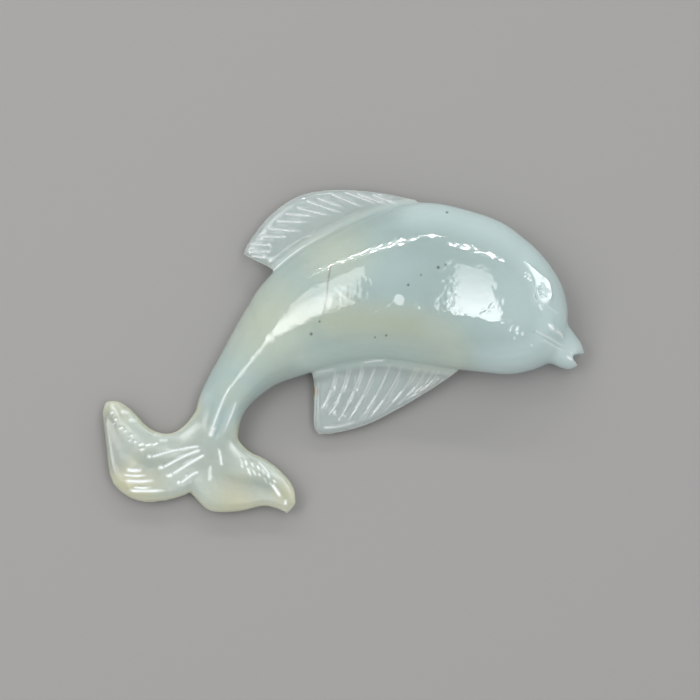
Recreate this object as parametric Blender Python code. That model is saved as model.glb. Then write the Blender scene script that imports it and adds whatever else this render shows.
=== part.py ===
"""A small leaping dolphin carved from one piece of pale translucent stone, lying on its flat back.

The frame has +X towards the head, +Y towards the dorsal side and +Z up from the table.
The animal is lofted whole through cross ribs and parted with thin cuts where a person names
its parts. The dorsal fin, the flipper and the two tail flukes are thin blades laid out by
rays from the body to the rim. All sizes below are in millimetres.
"""

import math

import bmesh
import bpy
import numpy as np
from mathutils import Vector

MM = 0.001

# Gap left by each parting cut, and between the eye and its socket.
CUT = 0.25
SOCKET_GAP = 0.2

# Cross section of the body, as shares of a rib's height or breadth.
WAIST = 0.37          # height of the widest line
EDGE_INSET = 0.21     # how far the rounded back edge reaches in before the flat back starts
CREST_SHIFT = 0.05    # how far the crest of the dome leans towards the belly
DOME_FULLNESS = 0.92  # 1 is an ellipse, less is a fuller dome

# Facets of the body: steps between ribs, round the dome, round each back edge, across the flat.
RIB_STEPS = 3
DOME_STEPS = 20
EDGE_STEPS = 5
FLAT_STEPS = 2

# Facets of a blade: steps along its rays' fan and across it, on each face.
FAN_STEPS = 26
RAY_STEPS = 10
END_CROWDING = 0.65   # how strongly the steps crowd towards the rims
RIM_SHARPNESS = 12.0  # the higher, the tighter the rounding of a blade's rim

# Cross ribs from the beak tip to the root of the flukes:
# dorsal side (x, y), belly side (x, y), height of the crest, height of the underside.
RIBS = [
    ((24.28, 0.00), (23.62, -1.35), 2.7, 1.3),     # beak tip
    ((23.85, 1.15), (22.70, -1.70), 3.5, 0.7),
    ((22.95, 2.35), (21.40, -1.40), 4.1, 0.4),     # beak base
    ((22.60, 3.10), (20.85, -1.05), 4.7, 0.2),     # crease between beak and melon, and throat
    ((22.60, 4.60), (20.00, -1.45), 5.7, 0.0),     # melon
    ((21.80, 7.15), (18.70, -1.95), 7.1, 0.0),     # eye
    ((19.70, 10.05), (16.50, -2.35), 8.3, 0.0),    # nape
    ((16.40, 12.75), (13.70, -2.10), 9.0, 0.0),
    ((12.70, 14.15), (10.70, -1.80), 9.3, 0.0),    # chest
    ((8.20, 15.00), (7.20, -1.25), 9.3, 0.0),
    ((3.75, 14.00), (3.50, -0.85), 9.1, 0.0),      # middle of the trunk
    ((-0.70, 12.10), (-0.30, -1.35), 8.6, 0.0),
    ((-4.65, 9.85), (-4.00, -2.40), 7.9, 0.0),
    ((-8.05, 6.90), (-6.60, -3.30), 7.0, 0.0),     # behind the dorsal fin
    ((-10.30, 3.35), (-8.40, -4.55), 6.1, 0.0),
    ((-12.10, 0.05), (-9.60, -5.75), 5.3, 0.1),    # tail stock
    ((-13.75, -2.95), (-10.25, -7.15), 4.6, 0.2),
    ((-14.60, -5.20), (-10.55, -8.60), 4.0, 0.3),
    ((-14.50, -7.40), (-11.70, -9.70), 3.4, 0.5),
    ((-14.20, -9.30), (-12.90, -10.30), 2.8, 0.8),  # end of the stock, between the flukes
]

# Parting lines across the body in plan: a point on the line and the direction it runs in.
NECK = ((16.8, 4.8), (0.12, 1.0))
RUMP = ((-8.3, 0.7), (-0.22, 1.0))
BEAK_BASE = ((21.9, 1.2), (0.41, 1.0))
MOUTH_CORNER = (22.90, -0.44)
MOUTH_LINE = (0.85, -0.53)
UPPER_JAW = (0.99, 0.16)
LOWER_JAW = (0.72, -0.70)

# Rays of the blades: root (x, y), rim (x, y), height of the middle surface at root and at rim.
DORSAL_RAYS = [
    ((9.6, 12.6), (7.4, 15.35), 2.9, 2.7),
    ((6.0, 12.4), (3.4, 16.15), 2.9, 2.6),
    ((2.4, 11.3), (-1.0, 16.43), 2.9, 2.5),
    ((-0.6, 9.9), (-4.5, 15.80), 2.8, 2.5),
    ((-2.6, 8.8), (-7.3, 13.90), 2.7, 2.4),
    ((-4.1, 7.8), (-9.4, 11.25), 2.6, 2.3),
    ((-4.9, 7.3), (-10.1, 9.85), 2.5, 2.3),
]
FLIPPER_RAYS = [
    ((11.6, 0.8), (11.8, -1.85), 2.8, 2.4),
    ((9.4, 1.4), (8.5, -4.00), 2.9, 1.8),
    ((7.2, 1.8), (5.2, -5.95), 3.0, 1.5),
    ((4.8, 2.0), (2.2, -7.40), 3.0, 1.4),
    ((2.2, 1.8), (-0.4, -8.10), 2.9, 1.3),
    ((-0.4, 1.2), (-2.3, -8.25), 2.7, 1.3),
    ((-2.9, 0.4), (-2.95, -7.55), 2.6, 1.3),
]
LEFT_FLUKE_RAYS = [
    ((-13.4, -4.0), (-12.2, -12.6), 1.9, 1.5),
    ((-15.2, -6.6), (-15.2, -14.10), 1.9, 1.4),
    ((-17.2, -8.05), (-17.9, -14.90), 1.8, 1.4),
    ((-19.3, -7.55), (-20.7, -14.85), 1.8, 1.4),
    ((-21.1, -5.75), (-23.1, -13.00), 1.7, 1.4),
    ((-22.5, -4.85), (-23.7, -9.30), 1.7, 1.4),
    ((-23.8, -4.90), (-24.1, -5.90), 1.6, 1.5),
]
RIGHT_FLUKE_RAYS = [
    ((-12.2, -5.0), (-16.2, -12.8), 1.9, 1.5),
    ((-10.4, -8.5), (-14.7, -14.70), 1.9, 1.4),
    ((-9.4, -9.75), (-13.2, -15.95), 1.8, 1.4),
    ((-7.8, -10.60), (-10.4, -15.95), 1.8, 1.4),
    ((-6.1, -11.90), (-8.0, -15.40), 1.7, 1.4),
    ((-4.9, -13.50), (-6.6, -15.65), 1.7, 1.4),
    ((-4.65, -15.20), (-5.5, -16.15), 1.6, 1.5),
]
# Parting line between the flukes, from the end of the stock to the notch of the tail.
FLUKE_PARTING = ((-14.5, -11.8), (0.39, 1.0))

# Thickness of each blade at its root and at its rim.
DORSAL_THICKNESS = (1.3, 1.1)
FLIPPER_THICKNESS = (1.5, 1.0)
FLUKE_THICKNESS = (2.2, 1.6)

# Relief of the flukes: lift, place across the fluke from its upper edge, half width.
FLUKE_RELIEF = [
    (0.18, 0.30, 0.16),   # ridge from root to tip
    (-0.16, 0.54, 0.17),  # valley beside it
    (0.10, 0.80, 0.14),   # full outer lobe
]
RELIEF_AT_ROOT = 0.15  # how far into its swell the relief already is at the root
RELIEF_FULLNESS = 0.7  # less than 1 keeps the relief full for longer

# Oval eye: place in plan, half length, half width and half depth, turn of its long axis.
EYE_PLACE = (19.8, 5.35)
EYE_RADII = (1.05, 0.8, 0.5)
EYE_TURN = math.radians(62.0)
EYE_SINK = 0.15  # how far its middle lies under the surface of the head

# sRGB colours of the stone where each part was cut from it.
BLUE_GREEN = (0.69, 0.77, 0.76)
SEA_GREY = (0.66, 0.73, 0.71)
CLEAR_GREY = (0.63, 0.68, 0.67)
WARM_GREY = (0.70, 0.72, 0.66)


def clear_scene():
    for item in list(bpy.data.objects):
        bpy.data.objects.remove(item, do_unlink=True)


def curve_at(points, share):
    """Point of the smooth curve through the given points, at a share of the way along it."""
    last_span = len(points) - 2
    place = share * (last_span + 1)
    k = min(int(place), last_span)
    t = place - k
    p1 = np.array(points[k], float)
    p2 = np.array(points[k + 1], float)
    p0 = np.array(points[k - 1], float) if k > 0 else 2 * p1 - p2
    p3 = np.array(points[k + 2], float) if k < last_span else 2 * p2 - p1
    linear = p2 - p0
    square = 2 * p0 - 5 * p1 + 4 * p2 - p3
    cube = 3 * (p1 - p2) + p3 - p0
    return 0.5 * (2 * p1 + linear * t + square * t * t + cube * t ** 3)


def across(start, end, share):
    """Point between two plan positions."""
    return start + (end - start) * share


def rib_ring(rib):
    """Closed ring of points round one rib: the dome, one back edge, the flat, the other edge."""
    dorsal, belly, crest = rib[0:2], rib[2:4], rib[4]
    under = max(0.0, rib[5])
    waist = under + WAIST * (crest - under)
    ring = []
    for step in range(DOME_STEPS + 1):
        angle = math.pi * step / DOME_STEPS
        share = 0.5 * (1 - math.cos(angle)) + CREST_SHIFT * math.sin(angle) ** 2
        height = waist + (crest - waist) * math.sin(angle) ** DOME_FULLNESS
        ring.append((*across(dorsal, belly, share), height))
    for step in range(1, EDGE_STEPS + 1):
        angle = 0.5 * math.pi * step / EDGE_STEPS
        share = 1 - EDGE_INSET * (1 - math.cos(angle))
        ring.append((*across(dorsal, belly, share), waist - (waist - under) * math.sin(angle)))
    for step in range(1, FLAT_STEPS):
        share = 1 - EDGE_INSET - (1 - 2 * EDGE_INSET) * step / FLAT_STEPS
        ring.append((*across(dorsal, belly, share), under))
    for step in range(EDGE_STEPS, 0, -1):
        angle = 0.5 * math.pi * step / EDGE_STEPS
        share = EDGE_INSET * (1 - math.cos(angle))
        ring.append((*across(dorsal, belly, share), waist - (waist - under) * math.sin(angle)))
    return ring


def whole_body():
    """Beak, head, trunk and tail stock as one closed loft."""
    rows = [(*dorsal, *belly, crest, under) for dorsal, belly, crest, under in RIBS]
    count = RIB_STEPS * (len(rows) - 1)
    bm = bmesh.new()
    rings = []
    for k in range(count + 1):
        ring = rib_ring(curve_at(rows, k / count))
        rings.append([bm.verts.new(Vector(point) * MM) for point in ring])
    for near, far in zip(rings, rings[1:]):
        for k in range(len(near)):
            following = (k + 1) % len(near)
            bm.faces.new((near[k], far[k], far[following], near[following]))
    bm.faces.new(rings[0])
    bm.faces.new(reversed(rings[-1]))
    bmesh.ops.recalc_face_normals(bm, faces=bm.faces)
    return bm


def pinch(share):
    """Thickness of a blade near its rims: nothing at 0 and 1, and full between them."""
    return math.sqrt(max(0.0, 1 - abs(2 * share - 1) ** RIM_SHARPNESS))


def eased(step, steps):
    """Share of the way for one step, with the steps closer together near both ends."""
    even = step / steps
    crowded = 0.5 * (1 - math.cos(math.pi * even))
    return even + (crowded - even) * END_CROWDING


def blade(rays, thickness, relief=None):
    """Closed thin blade spread over the rays, as thick as given at the roots and at the rim,
    with any relief carved on its upper face alone."""
    rows = [(*root, *rim, inner, outer) for root, rim, inner, outer in rays]
    bm = bmesh.new()
    faces = {}
    for side in (1, -1):
        for i in range(FAN_STEPS + 1):
            fan = eased(i, FAN_STEPS)
            row = curve_at(rows, fan)
            for j in range(RAY_STEPS + 1):
                reach = eased(j, RAY_STEPS)
                on_rim = i in (0, FAN_STEPS) or j in (0, RAY_STEPS)
                if side < 0 and on_rim:
                    faces[side, i, j] = faces[1, i, j]
                    continue
                x, y = across(row[0:2], row[2:4], reach)
                middle = row[4] + (row[5] - row[4]) * reach
                fullness = 0.0 if on_rim else pinch(fan) * pinch(reach)
                half = 0.5 * (thickness[0] + (thickness[1] - thickness[0]) * reach)
                lift = relief(fan, reach) if relief and side > 0 else 0.0
                height = middle + (side * half + lift) * fullness
                faces[side, i, j] = bm.verts.new(Vector((x, y, height)) * MM)
    for side in (1, -1):
        for i in range(FAN_STEPS):
            for j in range(RAY_STEPS):
                corners = [(i, j), (i + 1, j), (i + 1, j + 1), (i, j + 1)]
                bm.faces.new([faces[side, a, b] for a, b in corners])
    bmesh.ops.recalc_face_normals(bm, faces=bm.faces)
    return bm


def fluke_relief(fan, reach):
    """Lift of a fluke's upper face: ridge, valley and lobe, dying out towards root and tip."""
    swell = math.sin(math.pi * (RELIEF_AT_ROOT + fan * (1 - RELIEF_AT_ROOT))) ** RELIEF_FULLNESS
    lifts = [lift * math.exp(-((reach - place) / width) ** 2) for lift, place, width in FLUKE_RELIEF]
    return swell * sum(lifts)


def keep_side(bm, place, direction, towards, gap=CUT):
    """Cut a closed body along an upright plane and keep the side that holds the plan point
    towards, half the gap back from the plane."""
    along = Vector((*direction, 0.0)).normalized()
    outward = along.cross(Vector((0.0, 0.0, 1.0)))
    centre = Vector((*place, 0.0))
    if (Vector((*towards, 0.0)) - centre).dot(outward) > 0:
        outward = -outward
    everything = bm.verts[:] + bm.edges[:] + bm.faces[:]
    plane = (centre - outward * gap / 2) * MM
    bmesh.ops.bisect_plane(bm, geom=everything, dist=1e-8, plane_co=plane, plane_no=outward,
                           clear_outer=True)
    bmesh.ops.holes_fill(bm, edges=[edge for edge in bm.edges if edge.is_boundary])
    bmesh.ops.recalc_face_normals(bm, faces=bm.faces)


def grown(bm, distance):
    """Copy of a closed body with every point moved outwards."""
    copy = bm.copy()
    copy.normal_update()
    moves = [vertex.normal * distance * MM for vertex in copy.verts]
    for vertex, move in zip(copy.verts, moves):
        vertex.co += move
    return copy


def add_object(name, bm):
    mesh = bpy.data.meshes.new(name)
    bm.to_mesh(mesh)
    bm.free()
    item = bpy.data.objects.new(name, mesh)
    bpy.context.collection.objects.link(item)
    return item


def add_cutter(name, bm):
    item = add_object(name, bm)
    item.hide_render = True
    item.display_type = 'WIRE'
    return item


def subtract(item, cutter):
    """Take the cutter out of the object for good."""
    modifier = item.modifiers.new("cut", 'BOOLEAN')
    modifier.operation = 'DIFFERENCE'
    modifier.solver = 'EXACT'
    modifier.object = cutter
    evaluated = item.evaluated_get(bpy.context.evaluated_depsgraph_get())
    mesh = bpy.data.meshes.new_from_object(evaluated)
    item.modifiers.clear()
    item.data = mesh
    mesh.name = item.name


def stone_material(name, colour):
    """Polished translucent stone in one part's own tint."""
    material = bpy.data.materials.new(name)
    material.use_nodes = True
    shader = material.node_tree.nodes["Principled BSDF"]
    linear = [((c + 0.055) / 1.055) ** 2.4 for c in colour]
    shader.inputs["Base Color"].default_value = (*linear, 1.0)
    shader.inputs["Roughness"].default_value = 0.12
    shader.inputs["Metallic"].default_value = 0.0
    return material


def finish(item, colour):
    item.data.materials.clear()
    item.data.materials.append(stone_material("stone_" + item.name, colour))
    item.data.shade_smooth()
    item.data.set_sharp_from_angle(angle=math.radians(35.0))


def body_part(whole, name, cuts, colour):
    """One length of the body, between the upright cuts given for it."""
    bm = whole.copy()
    for place, direction, towards in cuts:
        keep_side(bm, place, direction, towards)
    item = add_object(name, bm)
    finish(item, colour)
    return item


def make_head(whole):
    """Head between the neck and the base of the beak, with a shallow socket for the eye."""
    inside = EYE_PLACE
    item = body_part(whole, "head", [(*NECK, inside), (*BEAK_BASE, inside)], BLUE_GREEN)
    above = Vector((*EYE_PLACE, 2 * max(crest for _, _, crest, _ in RIBS))) * MM
    place, normal = item.ray_cast(above, Vector((0.0, 0.0, -1.0)))[1:3]
    eye = add_object("eye", eye_ball(place, normal, 0.0))
    socket = add_cutter("eye_socket_cutter", eye_ball(place, normal, SOCKET_GAP))
    subtract(item, socket)
    finish(item, BLUE_GREEN)
    finish(eye, BLUE_GREEN)


def eye_ball(place, normal, gap):
    """Flattened oval button set into the surface, larger by the gap where one is given."""
    bm = bmesh.new()
    bmesh.ops.create_uvsphere(bm, u_segments=20, v_segments=12, radius=1.0)
    turn = normal.to_track_quat('Z', 'X').to_matrix()
    for vertex in bm.verts:
        flat = Vector([c * (r + gap) * MM for c, r in zip(vertex.co, EYE_RADII)])
        spun = Vector((flat.x * math.cos(EYE_TURN) - flat.y * math.sin(EYE_TURN),
                       flat.x * math.sin(EYE_TURN) + flat.y * math.cos(EYE_TURN), flat.z))
        vertex.co = place + turn @ spun - normal * EYE_SINK * MM
    return bm


def make_blade(name, rays, thickness, colour, body_cutter, relief=None, parting=None):
    """A fin or fluke, trimmed to the body and, where asked, to the fluke beside it."""
    bm = blade(rays, thickness, relief)
    if parting:
        keep_side(bm, *FLUKE_PARTING, parting)
    item = add_object(name, bm)
    subtract(item, body_cutter)
    finish(item, colour)


def centre_parts():
    """Put the middle of the whole plan at the origin and the lowest point on the table."""
    parts = [item for item in bpy.data.objects if not item.hide_render]
    corners = np.array([vertex.co for item in parts for vertex in item.data.vertices])
    low, high = corners.min(axis=0), corners.max(axis=0)
    shift = Vector((-(low[0] + high[0]) / 2, -(low[1] + high[1]) / 2, -low[2]))
    for item in parts:
        for vertex in item.data.vertices:
            vertex.co += shift


def main():
    clear_scene()
    whole = whole_body()
    body_cutter = add_cutter("body_cutter", grown(whole, CUT))

    beak_inside = (23.6, 0.5)
    mouth_cut = (MOUTH_CORNER, MOUTH_LINE)
    upper_cuts = [(*BEAK_BASE, beak_inside), (*mouth_cut, beak_inside),
                  (MOUTH_CORNER, UPPER_JAW, beak_inside)]
    chin_inside = (22.0, -1.3)
    lower_cuts = [(*BEAK_BASE, beak_inside), (*mouth_cut, chin_inside),
                  (MOUTH_CORNER, LOWER_JAW, chin_inside)]
    body_part(whole, "upper_beak", upper_cuts, BLUE_GREEN)
    body_part(whole, "lower_beak", lower_cuts, BLUE_GREEN)
    make_head(whole)
    trunk_inside = (5.0, 6.0)
    body_part(whole, "trunk", [(*NECK, trunk_inside), (*RUMP, trunk_inside)], BLUE_GREEN)
    body_part(whole, "tail_stock", [(*RUMP, (-13.0, -5.0))], SEA_GREY)
    whole.free()

    make_blade("dorsal_fin", DORSAL_RAYS, DORSAL_THICKNESS, SEA_GREY, body_cutter)
    make_blade("flipper", FLIPPER_RAYS, FLIPPER_THICKNESS, CLEAR_GREY, body_cutter)
    make_blade("left_fluke", LEFT_FLUKE_RAYS, FLUKE_THICKNESS, WARM_GREY, body_cutter,
               fluke_relief, (-20.0, -11.0))
    make_blade("right_fluke", RIGHT_FLUKE_RAYS, FLUKE_THICKNESS, WARM_GREY, body_cutter,
               fluke_relief, (-9.0, -13.0))
    centre_parts()


main()
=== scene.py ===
"""A small leaping dolphin carved from one piece of pale, icy jadeite, lying on its flat back.

The script follows the carver: the blank is fused from the frame's parts, ground smooth, cut
with the burr and polished. Plan positions and sizes of the carving are in millimetres.
"""

import math

import bmesh
import bpy
import numpy as np
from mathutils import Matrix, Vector
from mathutils.bvhtree import BVHTree
from mathutils.kdtree import KDTree


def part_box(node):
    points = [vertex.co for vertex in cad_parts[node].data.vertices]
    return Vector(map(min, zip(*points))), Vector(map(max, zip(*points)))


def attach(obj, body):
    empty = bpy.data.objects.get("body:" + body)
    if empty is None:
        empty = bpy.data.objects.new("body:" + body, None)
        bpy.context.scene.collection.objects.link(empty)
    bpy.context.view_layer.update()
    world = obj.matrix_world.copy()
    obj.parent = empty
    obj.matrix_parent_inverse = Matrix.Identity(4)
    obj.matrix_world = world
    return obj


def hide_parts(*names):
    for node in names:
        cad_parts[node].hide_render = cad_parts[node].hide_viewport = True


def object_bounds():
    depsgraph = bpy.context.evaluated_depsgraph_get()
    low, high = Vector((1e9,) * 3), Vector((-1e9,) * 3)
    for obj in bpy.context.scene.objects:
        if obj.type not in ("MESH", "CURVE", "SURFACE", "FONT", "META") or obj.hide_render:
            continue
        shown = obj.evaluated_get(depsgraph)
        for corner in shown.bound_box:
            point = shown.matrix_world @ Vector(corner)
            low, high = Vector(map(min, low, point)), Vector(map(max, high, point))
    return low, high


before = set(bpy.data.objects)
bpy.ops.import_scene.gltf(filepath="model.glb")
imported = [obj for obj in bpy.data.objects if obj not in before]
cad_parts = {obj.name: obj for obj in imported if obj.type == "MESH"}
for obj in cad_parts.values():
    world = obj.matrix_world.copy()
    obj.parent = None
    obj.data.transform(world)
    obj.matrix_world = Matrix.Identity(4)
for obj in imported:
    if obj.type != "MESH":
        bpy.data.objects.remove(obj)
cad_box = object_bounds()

MM = 0.001

# The carving is laid out in plan from the tip of the beak and the top of the dorsal fin.
BEAK_TIP_X = 24.28
DORSAL_TOP_Y = 16.44
ORIGIN = np.array((cad_box[1][0] / MM - BEAK_TIP_X, cad_box[1][1] / MM - DORSAL_TOP_Y, 0.0))

# ---------------------------------------------------------------------------------------
# The blank: one sawn pebble of jadeite, ground to the whole animal. The named parts of the
# frame are pushed together across their parting cuts and fused, so that no seam is left.
# ---------------------------------------------------------------------------------------

BODY_PARTS = ("head", "upper_beak", "lower_beak", "trunk", "tail_stock")
FINS = ("dorsal_fin", "flipper")
FLUKES = ("left_fluke", "right_fluke")
BLADES = FINS + FLUKES
CUT_REACH = 0.27           # a cut face lies within this of its neighbour
CUT_OVERLAP = 0.04         # how far two flat cut faces pass each other
BLADE_OVERLAP = 0.45       # how far a blade's root goes into the body
EYE_SWELL = 1.35           # how much the eye grows to fill its socket
WEB_MIDDLE = (-14.74, -6.68, 1.4)
WEB_HALF_SIZE = (0.5, 1.2, 1.0)
WEB_TURN = -31             # degrees in plan
VOXEL = 0.18               # cell in which the parts are fused


def surface_of(names):
    """One search tree over the surfaces of several parts."""
    points, faces = [], []
    for name in names:
        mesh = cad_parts[name].data
        start = len(points)
        points += [vertex.co.copy() for vertex in mesh.vertices]
        faces += [[start + k for k in polygon.vertices] for polygon in mesh.polygons]
    return BVHTree.FromPolygons(points, faces)


def blank_of(name):
    """A separate mesh object with the shape of one part of the frame."""
    copy = bpy.data.objects.new("blank_" + name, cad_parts[name].data.copy())
    bpy.context.collection.objects.link(copy)
    bm = bmesh.new()
    bm.from_mesh(copy.data)
    bmesh.ops.remove_doubles(bm, verts=bm.verts, dist=0.001 * MM)
    bm.to_mesh(copy.data)
    bm.free()
    return copy


def push_together(piece, neighbours, gap_share, overlap):
    """Move the points of a piece that face a neighbour across a cut towards and past it."""
    tree = surface_of(neighbours)
    for vertex in piece.data.vertices:
        spot, _, _, gap = tree.find_nearest(vertex.co, CUT_REACH * MM)
        if spot is not None and gap > 0:
            vertex.co += (spot - vertex.co).normalized() * (gap * gap_share + overlap * MM)


bpy.ops.object.select_all(action='DESELECT')
blanks = []
for name in BODY_PARTS:
    blank = blank_of(name)
    push_together(blank, [other for other in BODY_PARTS if other != name], 0.5, CUT_OVERLAP)
    blanks.append(blank)
for name in BLADES:
    blank = blank_of(name)
    push_together(blank, BODY_PARTS, 1.0, BLADE_OVERLAP)
    push_together(blank, [other for other in BLADES if other != name], 0.5, CUT_OVERLAP)
    blanks.append(blank)
eye_blank = blank_of("eye")
eye_low, eye_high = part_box("eye")
eye_middle = (eye_low + eye_high) / 2
for vertex in eye_blank.data.vertices:
    vertex.co = eye_middle + (vertex.co - eye_middle) * EYE_SWELL
blanks.append(eye_blank)

# The web of stone in the corner between the tail stock and the left fluke.
bpy.ops.mesh.primitive_uv_sphere_add(segments=24, ring_count=16, radius=MM,
                                     location=(ORIGIN + WEB_MIDDLE) * MM)
web = bpy.context.object
web.scale = WEB_HALF_SIZE
web.rotation_euler = (0, 0, math.radians(WEB_TURN))
bpy.ops.object.transform_apply(location=True, rotation=True, scale=True)
blanks.append(web)

bpy.ops.object.select_all(action='DESELECT')
for blank in blanks:
    blank.select_set(True)
stone = blanks[0]
bpy.context.view_layer.objects.active = stone
bpy.ops.object.join()
stone.name = "carved_stone"
stone.data.name = "carved_stone"


def finish_modifier(name, kind, **settings):
    """Add a modifier to the stone, set it and apply it."""
    modifier = stone.modifiers.new(name, kind)
    for key, value in settings.items():
        setattr(modifier, key, value)
    bpy.ops.object.modifier_apply(modifier=modifier.name)


finish_modifier("fuse", 'REMESH', mode='VOXEL', voxel_size=VOXEL * MM)

# ---------------------------------------------------------------------------------------
# Grinding: the fused blank is ground smooth, most on the broad body and where the tail
# stock runs out into the flukes, and hardly at all on the thin rims and the beak.
# ---------------------------------------------------------------------------------------


def points_of(mesh):
    """Positions of a mesh's points in millimetres from the plan origin."""
    values = np.zeros(len(mesh.vertices) * 3)
    mesh.vertices.foreach_get("co", values)
    return values.reshape(-1, 3) / MM - ORIGIN


def normals_of(mesh):
    """Directions in which a mesh's points face."""
    values = np.zeros(len(mesh.vertices) * 3)
    mesh.vertex_normals.foreach_get("vector", values)
    return values.reshape(-1, 3)


def set_points(mesh, points):
    """Move a mesh's points to these positions, in millimetres from the plan origin."""
    mesh.vertices.foreach_set("co", ((points + ORIGIN) * MM).astype(np.float32).ravel())
    mesh.update()


def distance_to(names, points):
    """Distance of each point from the surface of the named parts, in millimetres."""
    tree = surface_of(names)
    return np.array([tree.find_nearest(Vector(p) * MM)[3] for p in points + ORIGIN]) / MM


def ramp(values, start, end):
    """Smooth rise from 0 at start to 1 at end."""
    share = np.clip((values - start) / (end - start), 0.0, 1.0)
    return share * share * (3 - 2 * share)


def band_distance(points, knots):
    """Distance in plan from the polyline through the knots."""
    gaps = []
    for start, end in zip(np.array(knots[:-1], float), np.array(knots[1:], float)):
        span = end - start
        share = np.clip(((points[:, :2] - start) @ span) / (span @ span), 0, 1)
        gaps.append(np.linalg.norm(points[:, :2] - (start + share[:, None] * span), axis=1))
    return np.min(gaps, axis=0)


WEIGHT_STEPS = 50          # a vertex group is filled one weight at a time


def weigh(name, weights):
    """Give the stone a vertex group with these weights, rounded to even steps."""
    group = stone.vertex_groups.new(name=name)
    levels = np.round(np.clip(weights, 0, 1) * WEIGHT_STEPS).astype(int)
    for step in np.unique(levels):
        if step:
            group.add(np.flatnonzero(levels == step).tolist(), step / WEIGHT_STEPS, 'REPLACE')


def grind(weights, passes, upright_only=False):
    """Smooth the stone where the weights are high, in height alone where asked."""
    weigh("grind", weights)
    finish_modifier("grind", 'SMOOTH', factor=0.5, iterations=passes, vertex_group="grind",
                    use_x=not upright_only, use_y=not upright_only)
    stone.vertex_groups.remove(stone.vertex_groups["grind"])


GRID = 0.15                # cell of the height map that the broad grinding works on
BELL_EDGE = 3              # reaches out to which neighbours still count
UPPER_SIDE = 0.4           # a point belongs to the upper side if it faces up more than this
CLOSE_REACH = 0.2          # reach of the height that the broad one is set against


def broad_height(spots, tops, reach):
    """Height of the upper side round each plan position, averaged over a reach."""
    low = tops[:, :2].min(axis=0) - BELL_EDGE * reach
    cells = ((tops[:, :2].max(axis=0) + BELL_EDGE * reach - low) / GRID).astype(int) + 2
    sums, counts = np.zeros(cells), np.zeros(cells)
    index = tuple(np.round((tops[:, :2] - low) / GRID).astype(int).T)
    np.add.at(sums, index, tops[:, 2])
    np.add.at(counts, index, 1.0)
    edge = int(BELL_EDGE * reach / GRID)
    steps = np.arange(-edge, edge + 1) * GRID
    bell = np.exp(-steps ** 2 / (2 * reach ** 2))
    for axis in (0, 1):
        sums = np.apply_along_axis(np.convolve, axis, sums, bell, 'same')
        counts = np.apply_along_axis(np.convolve, axis, counts, bell, 'same')
    heights = sums / np.maximum(counts, 1e-9)
    place = np.clip((spots[:, :2] - low) / GRID, 0, np.array(cells) - 1.001)
    i, j = place.astype(int).T
    u, v = (place - place.astype(int)).T
    near = heights[i, j] * (1 - v) + heights[i, j + 1] * v
    far = heights[i + 1, j] * (1 - v) + heights[i + 1, j + 1] * v
    return near * (1 - u) + far * u


def level(weights, reach):
    """Bring the upper side closer to its own broad average height where the weights are high."""
    points = points_of(stone.data)
    tops = points[normals_of(stone.data)[:, 2] > UPPER_SIDE]
    chosen = np.flatnonzero(weights > 0.01)
    broad = broad_height(points[chosen], tops, reach)
    close = broad_height(points[chosen], tops, CLOSE_REACH)
    points[chosen, 2] *= 1 + weights[chosen] * (broad / close - 1)
    set_points(stone.data, points)


# Where the tail stock runs out into the flukes.
FORK = [(-16.0, -8.0), (-14.4, -6.4), (-13.7, -9.6), (-10.6, -9.8)]
# Where the beak grows out of the melon.
BEAK_ROOT = [(22.5, 3.2), (21.2, -0.6)]

points = points_of(stone.data)
from_blades = distance_to(BLADES, points)
from_body = distance_to(BODY_PARTS, points)
from_beak = distance_to(("upper_beak", "lower_beak"), points)
on_fork = 1 - ramp(band_distance(points, FORK), 1.0, 3.0)
on_beak_root = 1 - ramp(band_distance(points, BEAK_ROOT), 0.5, 1.6)
on_creases = (1 - ramp(from_blades, 0.1, 1.2)) * (1 - ramp(from_body, 0.1, 1.2))
on_body = ramp(from_blades, 0.3, 1.6) * ramp(from_beak, 0.2, 2.0)

# First the lumps and hollows are brought level, the widest first, then all is smoothed.
level(on_fork, 1.1)
level(on_fork, 0.8)
level(on_creases, 0.5)
level(on_beak_root, 0.6)
grind(np.maximum.reduce([on_body, 0.8 * on_fork, 0.7 * on_beak_root]), 60)
grind(np.maximum(on_fork, on_beak_root), 120, upright_only=True)
grind(on_creases, 30, upright_only=True)
grind(np.full(len(points), 1.0), 4)

# The flat back needs few faces.
BACK_THINNING = 0.85
facing_down = ramp(-normals_of(stone.data)[:, 2], 0.3, 0.6)
weigh("back", facing_down)
finish_modifier("plain_back", 'DECIMATE', ratio=1 - BACK_THINNING * facing_down.mean(),
                vertex_group="back")
stone.vertex_groups.remove(stone.vertex_groups["back"])

# ---------------------------------------------------------------------------------------
# The carved detail: ray grooves, ridges and the face, cut with small rotary burrs of about
# a third of a millimetre. Every stroke is set out in plan first; then the stone's faces are
# split finer along the strokes, and all of them are cut at once.
# ---------------------------------------------------------------------------------------

BURR = 0.32                # usual width of one burr stroke
CUT_DEPTH = 0.10           # and its usual depth
strokes = []
hand = np.random.default_rng(12)    # how the carver's hand strays, the same in each run


def smooth_curve(knots, share):
    """Plan points of the smooth curve through the knots, at shares of the way along it."""
    knots = np.array(knots, float)
    spans = len(knots) - 1
    padded = np.vstack([2 * knots[0] - knots[1], knots, 2 * knots[-1] - knots[-2]])
    place = np.clip(np.atleast_1d(share), 0, 1) * spans
    k = np.minimum(place.astype(int), spans - 1)
    t = (place - k)[:, None]
    p0, p1, p2, p3 = padded[k], padded[k + 1], padded[k + 2], padded[k + 3]
    return 0.5 * (2 * p1 + (p2 - p0) * t + (2 * p0 - 5 * p1 + 4 * p2 - p3) * t * t
                  + (3 * (p1 - p2) + p3 - p0) * t ** 3)


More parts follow.
